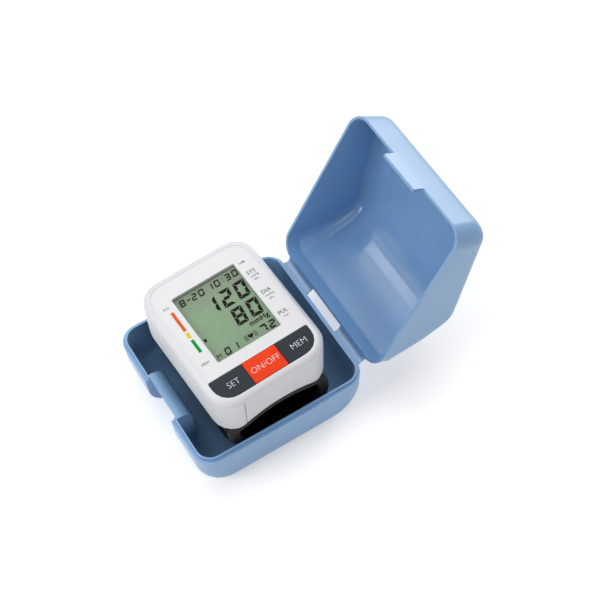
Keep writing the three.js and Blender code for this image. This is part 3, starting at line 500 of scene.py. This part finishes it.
# What the display shows, placed from its upper left corner
LCD_X, LCD_Y, LCD_W, LCD_L = -0.3, 4.9, 36.5, 43.2
LCD_LEFT = LCD_X - LCD_W / 2
LCD_RIGHT = LCD_LEFT + LCD_W
LCD_TOP = LCD_Y + LCD_L / 2
SEGMENT_Z, SEGMENT_THICK = -2.22, 0.03
CLOCK_DOWN = 4.0
# Height, width, thickness of a bar, and pitch
CLOCK_DIGIT = (4.0, 3.0, 0.8, 4.15)
LARGE_DIGIT = (10.0, 6.3, 1.8, 8.6)
PULSE_DIGIT = (4.7, 3.7, 1.05, 4.9)
MEMORY_DIGIT = (4.2, 3.1, 0.85, 4.5)
COLON_X, COLON_RISE, COLON_R = 27.3, 0.9, 0.34
BEAT_X, BEAT_DOWN = 21.5, 38.8
HEART_LIFT, HEART_SIZE = 0.2, 3.1
WAVE_RADII, WAVE_THICK, WAVE_HALF = (2.2, 3.0), 0.34, 35
MARK_LEFT, MARK_RIGHT, MARK_LOW, MARK_HIGH = 1.4, 2.6, 29.3, 27.3
CAP_LCD = 2.9

figures = Plates(SEGMENT_Z, SEGMENT_THICK)
for text, right, down, style in (
    ("8", 5.5, CLOCK_DOWN, CLOCK_DIGIT), ("-", 9.0, CLOCK_DOWN, CLOCK_DIGIT),
    ("20", 16.4, CLOCK_DOWN, CLOCK_DIGIT), ("10", 25.6, CLOCK_DOWN, CLOCK_DIGIT),
    ("30", 36.0, CLOCK_DOWN, CLOCK_DIGIT),
    ("120", 35.4, 13.8, LARGE_DIGIT), ("80", 35.0, 26.0, LARGE_DIGIT),
    ("72", 35.6, 39.0, PULSE_DIGIT), ("01", 13.9, 39.4, MEMORY_DIGIT),
):
    digits(figures, text, LCD_LEFT + right, LCD_TOP - down, *style)
for rise in (-COLON_RISE, COLON_RISE):
    dot_x = LCD_LEFT + COLON_X + LEAN * rise
    figures.add(disc(dot_x, LCD_TOP - CLOCK_DOWN + rise, COLON_R))
beat_x, beat_y = LCD_LEFT + BEAT_X, LCD_TOP - BEAT_DOWN
figures.add(heart(beat_x, beat_y + HEART_LIFT, HEART_SIZE))
for middle in (0, 180):
    for radius in WAVE_RADII:
        start, end = middle - WAVE_HALF, middle + WAVE_HALF
        figures.add(arc_bar(beat_x, beat_y, radius, WAVE_THICK, start, end))
figures.rect(
    LCD_LEFT + MARK_LEFT, LCD_LEFT + MARK_RIGHT, LCD_TOP - MARK_LOW, LCD_TOP - MARK_HIGH
)
figures.build("lcd_figures", SEGMENT, "monitor", "lcd")
units = Words(SEGMENT_Z, SEGMENT_THICK)
units.add(
    "mmHg", LCD_LEFT + 35.4, LCD_TOP - 32.9, CAP_LCD, weight=0.022, wide=1.02, align="RIGHT"
)
units.add("M", LCD_LEFT + 2.9, LCD_TOP - 39.5, CAP_LCD, wide=0.9)
units.build("lcd_units", SEGMENT, "monitor", "lcd")

# Printing on the face panel and the keys
PRINT_Z, PRINT_THICK = -0.135, 0.012
KEY_Z = 0.165
KEYS_Y = -30.25
CAP_NAME, CAP_CLOCK, CAP_UNIT, CAP_MEMORY, CAP_KEY = 2.3, 1.35, 1.25, 1.6, 3.5
LABEL_WEIGHT = 0.006
KEY_TEXT_WEIGHT, KEY_TEXT_WIDE, KEY_TEXT_LIFT = -0.02, 0.94, 0.2
BAR_FAR, BAR_NEAR = 4.5, 2.8  # from the display's left edge

labels = Words(PRINT_Z, PRINT_THICK)
for text, beside, down, cap in (
    ("H/M", 3.7, 2.0, CAP_CLOCK),
    ("SYS", 4.6, 9.0, CAP_NAME), ("mmHg", 4.9, 11.7, CAP_UNIT), ("kPa", 4.6, 14.0, CAP_UNIT),
    ("DIA", 4.6, 22.5, CAP_NAME), ("mmHg", 4.9, 25.2, CAP_UNIT), ("kPa", 4.6, 27.5, CAP_UNIT),
    ("PUL", 4.8, 37.2, CAP_NAME), ("/min", 4.9, 39.9, CAP_UNIT),
):
    labels.add(text, LCD_RIGHT + beside, LCD_TOP - down, cap, LABEL_WEIGHT)
labels.add("M/D", LCD_LEFT - 4.8, LCD_TOP - 3.3, CAP_CLOCK)
labels.add("MEM", LCD_LEFT - 5.3, LCD_TOP - 40.0, CAP_MEMORY)
labels.build("face_labels", INK, "monitor", "panel_white")
for name, ink, low, high in (
    ("bar_red", RED_INK, 19.3, 6.6),
    ("bar_yellow", YELLOW_INK, 24.0, 20.5),
    ("bar_green", GREEN_INK, 33.5, 25.2),
):
    bar = Plates(PRINT_Z, PRINT_THICK)
    bar.rect(LCD_LEFT - BAR_FAR, LCD_LEFT - BAR_NEAR, LCD_TOP - low, LCD_TOP - high)
    bar.build(name, ink, "monitor", "panel_white")
for name, text, x, body, slot in (
    ("key_set_print", "SET", -18.6, "key_set_body", "key_dark"),
    ("key_power_print", "ON/OFF", -0.3, "key_power_body", "key_red"),
    ("key_memory_print", "MEM", 18.9, "key_memory_body", "key_dark"),
):
    words = Words(KEY_Z, PRINT_THICK)
    words.add(text, x, KEYS_Y + KEY_TEXT_LIFT, CAP_KEY, KEY_TEXT_WEIGHT, KEY_TEXT_WIDE)
    words.build(name, WHITE_INK, body, slot)

# Bead of sealant round the face panel, open at the keys
PANEL_HALF_W, PANEL_HALF_L, PANEL_R, PANEL_FOOT = 28.0, 36.2, 8.0, -23.45
BEAD_Z, BEAD_HEIGHT, BEAD_WIDTH = -0.7, 0.5, 0.25


def panel_edge(grow, steps=8):
    half_w, half_l, r = PANEL_HALF_W + grow, PANEL_HALF_L + grow, PANEL_R + grow
    path = [(-half_w, PANEL_FOOT)]
    for cx, start in ((-half_w + r, 180.0), (half_w - r, 90.0)):
        for i in range(steps + 1):
            a = math.radians(start - 90.0 * i / steps)
            path.append((cx + r * math.cos(a), half_l - r + r * math.sin(a)))
    return path + [(half_w, PANEL_FOOT)]


bead = Plates(BEAD_Z, BEAD_HEIGHT)
bead.ribbon(panel_edge(BEAD_WIDTH), panel_edge(0.0))
bead.build("panel_bead", PANEL, "monitor", "panel_white")

# Grip ribs moulded on the battery cover's outer wall, which draws in by one degree
RIB_ROWS = (20.6, 17.6, 14.6, 11.6)
RIB_FOOT_Z = -17.2
# Height above the foot, half width at the wall and at the crest, and how far the rib stands out
RIB_PROFILE = (
    (0.0, 0.0, 0.0, 0.0), (0.5, 0.6, 0.252, 0.22),
    (3.5, 0.6, 0.252, 0.22), (4.0, 0.0, 0.0, 0.0),
)
COVER_WALL = -32.0
COVER_DRAFT = math.tan(math.radians(1.0))
RIB_SINK = 0.02
# Each rib ends in a point, so its end faces vanish when points this close are joined
RIB_SEAM = 1e-7


def cover_ribs():
    points, faces = [], []
    for y in RIB_ROWS:
        base = len(points)
        for rise, wide, crest, out in RIB_PROFILE:
            z = RIB_FOOT_Z + rise
            wall = COVER_WALL - z * COVER_DRAFT + RIB_SINK
            points += [
                (wall, y - wide, z), (wall - out, y - crest, z),
                (wall - out, y + crest, z), (wall, y + wide, z),
            ]
        faces += tube_faces(len(RIB_PROFILE), 4, base)
    obj = make_mesh("cover_ribs", points, faces, WHITE)
    face_outwards(obj.data, RIB_SEAM)
    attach(obj, "cover")


cover_ribs()

# Thin bending strips between the flanges of the case halves, thickest at both ends
HINGE_AT = Vector((50.25, 0.0, 29.0))
OPEN = math.radians(120.3)
ALONG_LID = Vector((-math.cos(OPEN), 0.0, math.sin(OPEN)))
OFF_LID = Vector((math.sin(OPEN), 0.0, math.cos(OPEN)))
FLANGE_REACH, FLANGE_DROP = 1.85, 1.05
STRIP_FIRST = HINGE_AT - Vector((FLANGE_REACH, 0.0, FLANGE_DROP))
STRIP_LAST = HINGE_AT + ALONG_LID * FLANGE_REACH + OFF_LID * FLANGE_DROP
STRIP_HALF, STRIP_SWELL = 0.3, 0.37
STRIP_INNER, STRIP_OUTER = 13.5, 36.0


def hinge_strip(name, y0, y1, node, steps=14):
    first, last = STRIP_FIRST, STRIP_LAST
    reach = (last.z - first.z) / ALONG_LID.z
    knee = Vector((last.x - reach * ALONG_LID.x, 0.0, first.z))
    points = []
    for i in range(steps + 1):
        t = i / steps
        p = first * (1 - t) ** 2 + knee * (2 * t * (1 - t)) + last * t ** 2
        along = (knee - first) * (2 * (1 - t)) + (last - knee) * (2 * t)
        up = Vector((-along.z, 0.0, along.x)).normalized()
        half = STRIP_HALF + STRIP_SWELL * abs(2 * t - 1) ** 3
        high, low = p + up * half, p - up * half
        points += [
            (high.x, y0, high.z), (high.x, y1, high.z), (low.x, y1, low.z), (low.x, y0, low.z),
        ]
    obj = make_mesh(name, points, tube_faces(steps + 1, 4), HINGE, False, CASE_FRAME)
    face_outwards(obj.data)
    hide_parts(node)
    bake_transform(obj)


hinge_strip("hinge_strip_near", -STRIP_OUTER, -STRIP_INNER, "hinge_web_near")
hinge_strip("hinge_strip_far", STRIP_INNER, STRIP_OUTER, "hinge_web_far")

# Cuff: the loop's outline in x and z, counterclockwise from the hinge side over the top
LOOP_R, LOOP_CENTRE, LOOP_TOP_X = 45.05, -68.75, 20.0
TRAY_FLOOR, STRAP_ROOM = 2.85, 1.95
LOOP_FLOOR = TRAY_FLOOR - FACE_HEIGHT + STRAP_ROOM
LOOP_LATCH_TOP, LOOP_LATCH_FOOT = -29.8, -23.6
LOOP_HINGE_TOP, LOOP_HINGE_FOOT = 28.0, 34.2
SHOULDER_HIGHEST, SHOULDER_DROP = -27.75, 1
SHOULDER_R, FOOT_R = 6.2, 18.0
LOOP_STATIONS = 180
ARCH_HALF_STEPS = 12
LOOP_SMOOTHINGS = 2
CUFF_HALF = 38.2


# Corners are x, y and a radius, which is 0 for a plain point
def rounded(corners, steps=10):
    points = []
    for i, (x, y, r) in enumerate(corners):
        p = Vector((x, y))
        if not r:
            points.append(p)
            continue
        a = (Vector(corners[i - 1][:2]) - p).normalized()
        b = (Vector(corners[(i + 1) % len(corners)][:2]) - p).normalized()
        half = math.acos(max(-1.0, min(1.0, a.dot(b)))) / 2
        centre = p + (a + b).normalized() * (r / math.sin(half))
        reach = r / math.tan(half)
        first = p + a * reach - centre
        last = p + b * reach - centre
        start = math.atan2(first.y, first.x)
        turn = math.atan2(last.y, last.x) - start
        turn -= 2 * math.pi * round(turn / (2 * math.pi))
        for k in range(steps + 1):
            angle = start + turn * k / steps
            points.append(centre + Vector((math.cos(angle), math.sin(angle))) * r)
    return points


# Evenly spaced points of the loop and the directions into it
def loop_outline():
    arch = []
    for i in range(2 * ARCH_HALF_STEPS + 1):
        x = LOOP_TOP_X * (1 - i / ARCH_HALF_STEPS)
        arch.append(Vector((x, LOOP_CENTRE + math.sqrt(LOOP_R ** 2 - x ** 2))))
    shoulder = min(arch[0].y, SHOULDER_HIGHEST) - SHOULDER_DROP
    rest = rounded([
        (-LOOP_TOP_X, arch[-1].y, 0),
        (LOOP_LATCH_TOP, shoulder, SHOULDER_R), (LOOP_LATCH_FOOT, LOOP_FLOOR, FOOT_R),
        (LOOP_HINGE_FOOT, LOOP_FLOOR, FOOT_R), (LOOP_HINGE_TOP, shoulder, SHOULDER_R),
        (LOOP_TOP_X, arch[0].y, 0),
    ])
    line = arch[:-1] + rest[:-1]
    count = len(line)
    for _ in range(LOOP_SMOOTHINGS):
        line = [(line[i - 1] + line[i] * 2 + line[(i + 1) % count]) / 4 for i in range(count)]
    lengths = [0.0]
    for i in range(count):
        lengths.append(lengths[-1] + (line[(i + 1) % count] - line[i]).length)
    even = []
    at = 0
    for k in range(LOOP_STATIONS):
        goal = lengths[-1] * k / LOOP_STATIONS
        while lengths[at + 1] < goal:
            at += 1
        part = (goal - lengths[at]) / (lengths[at + 1] - lengths[at])
        even.append(line[at].lerp(line[(at + 1) % count], part))
    inward = []
    for k in range(LOOP_STATIONS):
        along = even[(k + 1) % LOOP_STATIONS] - even[k - 1]
        inward.append(Vector((-along.y, along.x)).normalized())
    return even, inward


LOOP, LOOP_IN = loop_outline()


# Band along the loop, or along some stations of it. Profile points are y and depth inwards.
def loop_band(name, profile, material, swell=None, stations=None):
    points = []
    for k in stations or range(LOOP_STATIONS):
        p, n = LOOP[k], LOOP_IN[k]
        for y, depth in profile:
            d = depth + (swell(k / LOOP_STATIONS, y, depth) if swell else 0.0)
            points.append((p.x + n.x * d, y, p.y + n.y * d))
    size = len(profile)
    faces = tube_faces(len(points) // size, size, loop=stations is None)
    obj = make_mesh(name, points, faces, material)
    face_outwards(obj.data)
    return obj


# Flat band with rounded edges, from its outer to its inner depth
def band_profile(half, outer, inner, edge, along=20, turn=5):
    flat = half - edge
    points = [(-flat + 2 * flat * i / along, outer) for i in range(along + 1)]
    rise = [math.pi / 2 * i / turn for i in range(1, turn)]
    fall = [math.pi / 2 * (1 - i / turn) for i in range(turn)]
    points += [(flat + edge * math.sin(a), outer + edge * (1 - math.cos(a))) for a in rise]
    points += [(flat + edge * math.sin(a), inner - edge * (1 - math.cos(a))) for a in fall]
    points += [(flat - 2 * flat * i / along, inner) for i in range(along + 1)]
    points += [(-flat - edge * math.sin(a), inner - edge * (1 - math.cos(a))) for a in rise]
    points += [(-flat - edge * math.sin(a), outer + edge * (1 - math.cos(a))) for a in fall]
    return points


# Unevenness of the cloth and swelling of the pad, in millimetres
PAD_FULL, PAD_INNER_FROM = 0.9, 3.4
# Rise of a wave, and how fast the noise runs round the loop and across the band
BROAD_RISE, BROAD_ROUND, BROAD_ACROSS = 0.22, 26.0, 0.07
FINE_RISE, FINE_ROUND, FINE_ACROSS, FINE_LAYER = 0.1, 70.0, 0.2, 7.0
PAD_RISE, PAD_ROUND, PAD_ACROSS, PAD_LAYER = 0.45, 22.0, 0.06, 3.0


def noise_at(*place):
    return stir.noise(Vector(place))


def cloth_swell(part, y, depth):
    broad = noise_at(part * BROAD_ROUND, y * BROAD_ACROSS, depth)
    fine = noise_at(part * FINE_ROUND, y * FINE_ACROSS, FINE_LAYER)
    return BROAD_RISE * broad + FINE_RISE * fine


def pad_swell(part, y, depth):
    if depth < PAD_INNER_FROM:
        return 0.0
    middle = max(0.0, 1 - (y / CUFF_HALF) ** 2)
    lumps = noise_at(part * PAD_ROUND, y * PAD_ACROSS, PAD_LAYER)
    return PAD_FULL * middle + PAD_RISE * lumps * middle


# Tape folded round an edge of the cuff: a lip on each side and a half round between them
TAPE_LIP, TAPE_THICK = 35.5, 0.4
TAPE_BEND_OUT, TAPE_BEND_IN = 37.4, 37.2
TAPE_REACH_OUT, TAPE_REACH_IN = 38.95, 38.35
TAPE_MIDDLE, TAPE_GAP = 2.55, 0.05


def tape_profile(side, steps=8):
    low, high = -TAPE_THICK, 2 * TAPE_MIDDLE + TAPE_THICK
    inner_low, inner_high = TAPE_GAP, 2 * TAPE_MIDDLE - TAPE_GAP
    outside = [(TAPE_LIP, low), (TAPE_BEND_OUT, low)]
    inside = [(TAPE_LIP, inner_low), (TAPE_BEND_IN, inner_low)]
    for i in range(1, steps):
        a = math.pi * i / steps
        outside.append((
            TAPE_BEND_OUT + (TAPE_REACH_OUT - TAPE_BEND_OUT) * math.sin(a),
            TAPE_MIDDLE - (TAPE_MIDDLE + TAPE_THICK) * math.cos(a),
        ))
        inside.append((
            TAPE_BEND_IN + (TAPE_REACH_IN - TAPE_BEND_IN) * math.sin(a),
            TAPE_MIDDLE - (TAPE_MIDDLE - TAPE_GAP) * math.cos(a),
        ))
    outside += [(TAPE_BEND_OUT, high), (TAPE_LIP, high)]
    inside += [(TAPE_BEND_IN, inner_high), (TAPE_LIP, inner_high)]
    return [(side * y, d) for y, d in outside + inside[::-1]]


def squash(obj):
    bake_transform(obj)


def soft(obj, fill, *nodes):
    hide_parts(*nodes)
    squash(obj)


CLOTH_FILL, PAD_FILL = 0.3, 0.6
CLOTH_PROFILE = band_profile(half=38.1, outer=0.0, inner=1.75, edge=0.8)
PAD_PROFILE = band_profile(half=37.9, outer=1.8, inner=5.0, edge=1.5)
STRAP_PROFILE = band_profile(half=30.0, outer=-STRAP_ROOM, inner=-0.3, edge=0.7)
cloth = loop_band("cuff_cloth", CLOTH_PROFILE, CLOTH, cloth_swell)
soft(cloth, CLOTH_FILL, "cuff_outer")
pad = loop_band("cuff_pad", PAD_PROFILE, LINING, pad_swell)
soft(pad, PAD_FILL, "cuff_bladder", "cuff_lining")
for name, side in (("cuff_tape_near", -1), ("cuff_tape_far", 1)):
    tape = loop_band(name, tape_profile(side), TAPE)
    squash(tape)

# Stitches along both tapes, on the outside of the loop
STITCH_Y = 36.3
STITCH_EVERY = 2
STITCH_HALF_LENGTH, STITCH_HALF_WIDTH = 0.75, 0.2
STITCH_LIFT, STITCH_HEIGHT = 0.42, 0.16


def stitches(name, y):
    points, faces = [], []
    for k in range(0, LOOP_STATIONS, STITCH_EVERY):
        p, n = LOOP[k], LOOP_IN[k]
        q = LOOP[(k + 1) % LOOP_STATIONS]
        along = (q - p).normalized()
        mid = (p + q) / 2 - n * STITCH_LIFT
        top = mid - n * STITCH_HEIGHT
        base = len(points)
        for part, aside in (
            (-STITCH_HALF_LENGTH, 0), (0, -STITCH_HALF_WIDTH),
            (STITCH_HALF_LENGTH, 0), (0, STITCH_HALF_WIDTH),
        ):
            points.append((mid.x + along.x * part, y + aside, mid.y + along.y * part))
        points.append((top.x, y, top.y))
        faces += [[base + i, base + (i + 1) % 4, base + 4] for i in range(4)]
        faces.append([base + 3, base + 2, base + 1, base])
    obj = make_mesh(name, points, faces, THREAD, False)
    squash(obj)


stitches("cuff_stitches_near", -STITCH_Y)
stitches("cuff_stitches_far", STITCH_Y)

# Strap tail under the loop, from past its middle to low on the latch side
TAIL_RISE, TAIL_PAST_MIDDLE = 12, 12
TAIL_TOP = LOOP_FLOOR + TAIL_RISE
under = [k for k, p in enumerate(LOOP) if p.y < TAIL_TOP and p.x < TAIL_PAST_MIDDLE]
tail = loop_band("strap_end", STRAP_PROFILE, CLOTH, stations=range(min(under), max(under) + 1))
soft(tail, CLOTH_FILL, "strap_tail")

# Camera of the photograph
CAMERA_RIGHT = Vector((0.849846, -0.525933, -0.034013))
CAMERA_DOWN = Vector((-0.465809, -0.719368, -0.515298))
CAMERA_AHEAD = Vector((0.246545, 0.453767, -0.856336))
CAMERA_PLACE = Vector((-141.509, -327.843, 669.755)) * MM
CAMERA_LENS, CAMERA_SENSOR = 86.307, 36.0
CAMERA_CLIP = (0.01, 20.0)


def add_camera():
    data = bpy.data.cameras.new("camera")
    camera = bpy.data.objects.new("camera", data)
    bpy.context.scene.collection.objects.link(camera)
    axes = Matrix((CAMERA_RIGHT, -CAMERA_DOWN, -CAMERA_AHEAD)).transposed()
    camera.matrix_world = Matrix.Translation(CAMERA_PLACE) @ axes.to_4x4()
    data.lens = CAMERA_LENS
    data.sensor_width = CAMERA_SENSOR
    data.clip_start, data.clip_end = CAMERA_CLIP
    bpy.context.scene.camera = camera


# Floor, world and lamps
FLOOR_HALF, FLOOR_CELLS, FLOOR_DROP = 4.0, 8, 0.0002
FLOOR_TONE, FLOOR_LIFT_TONE = (0.93, 0.93, 0.93, 1.0), (1.0, 0.95, 0.89, 1.0)
FLOOR_LIFT = 0.36
WORLD_TONE = (1.0, 1.0, 1.0, 1.0)
WORLD_SEEN, WORLD_GIVEN = 1.0, 0.08


# Camera, gloss and glass see floor and world brighter than the light that these give
def sight_rays(tree):
    path = add_node(tree, "ShaderNodeLightPath").outputs
    seen = combine(tree, "MAXIMUM", path["Is Camera Ray"], path["Is Glossy Ray"])
    return combine(tree, "MAXIMUM", seen, path["Is Transmission Ray"])


def add_floor():
    mesh = bpy.data.meshes.new("floor")
    form = bmesh.new()
    bmesh.ops.create_grid(form, x_segments=FLOOR_CELLS, y_segments=FLOOR_CELLS, size=FLOOR_HALF)
    form.to_mesh(mesh)
    form.free()
    floor = bpy.data.objects.new("floor", mesh)
    floor.location.z = -FLOOR_DROP
    bpy.context.scene.collection.objects.link(floor)
    material, tree, shader = new_material("floor_white")
    shader.inputs["Base Color"].default_value = FLOOR_TONE
    shader.inputs["Roughness"].default_value = 0.9
    shader.inputs["Specular IOR Level"].default_value = 0.0
    shader.inputs["Emission Color"].default_value = FLOOR_LIFT_TONE
    lift = span(tree, sight_rays(tree), 0.0, FLOOR_LIFT)
    tree.links.new(lift, shader.inputs["Emission Strength"])
    mesh.materials.append(material)


def add_world():
    world = bpy.data.worlds.new("studio")
    bpy.context.scene.world = world
    world.use_nodes = True
    tree = world.node_tree
    tree.nodes.clear()
    output = add_node(tree, "ShaderNodeOutputWorld")
    seen = add_node(tree, "ShaderNodeBackground", Color=WORLD_TONE, Strength=WORLD_SEEN)
    given = add_node(tree, "ShaderNodeBackground", Color=WORLD_TONE, Strength=WORLD_GIVEN)
    mix = add_node(tree, "ShaderNodeMixShader")
    tree.links.new(sight_rays(tree), mix.inputs["Fac"])
    tree.links.new(given.outputs[0], mix.inputs[1])
    tree.links.new(seen.outputs[0], mix.inputs[2])
    tree.links.new(mix.outputs[0], output.inputs["Surface"])


# Sizes and places in metres, power in watts, and the lamp's roll in degrees
def add_lamp(name, place, target, size, power, roll=0.0):
    data = bpy.data.lights.new(name, "AREA")
    data.shape = "RECTANGLE"
    data.size, data.size_y = size
    data.energy = power
    lamp = bpy.data.objects.new(name, data)
    lamp.location = place
    lamp.rotation_mode = "QUATERNION"
    aim = (Vector(target) - Vector(place)).to_track_quat("-Z", "Y")
    lamp.rotation_quaternion = aim @ Quaternion((0.0, 0.0, 1.0), math.radians(roll))
    bpy.context.scene.collection.objects.link(lamp)


add_camera()
add_floor()
add_world()
add_lamp("key_lamp", (-0.2, 0.55, 1.3), (0.02, 0.0, 0.03), (1.5, 1.5), 6.7)
add_lamp("back_key", (0.5, 0.5, 1.25), (0.02, 0.0, 0.03), (1.2, 1.2), 6.4)
add_lamp("front_fill", (0.2, -1.4, 0.8), (0.02, 0.0, 0.05), (0.9, 0.9), 7.2)
add_lamp("left_fill", (-1.3, 0.2, 0.9), (0.05, 0.0, 0.05), (0.9, 0.9), 12.0)
add_lamp("rim_strip", (1.75, 0.9, 0.5), (0.09, 0.0, 0.09), (1.0, 0.6), 15.5)
# Its reflection is the streak in the open lid
add_lamp("small_softbox", (-0.156, 0.412, 0.85), (0.091, 0.0, 0.031), (0.17, 0.09), 0.19, -35.0)

bpy.context.scene.view_settings.view_transform = "Standard"
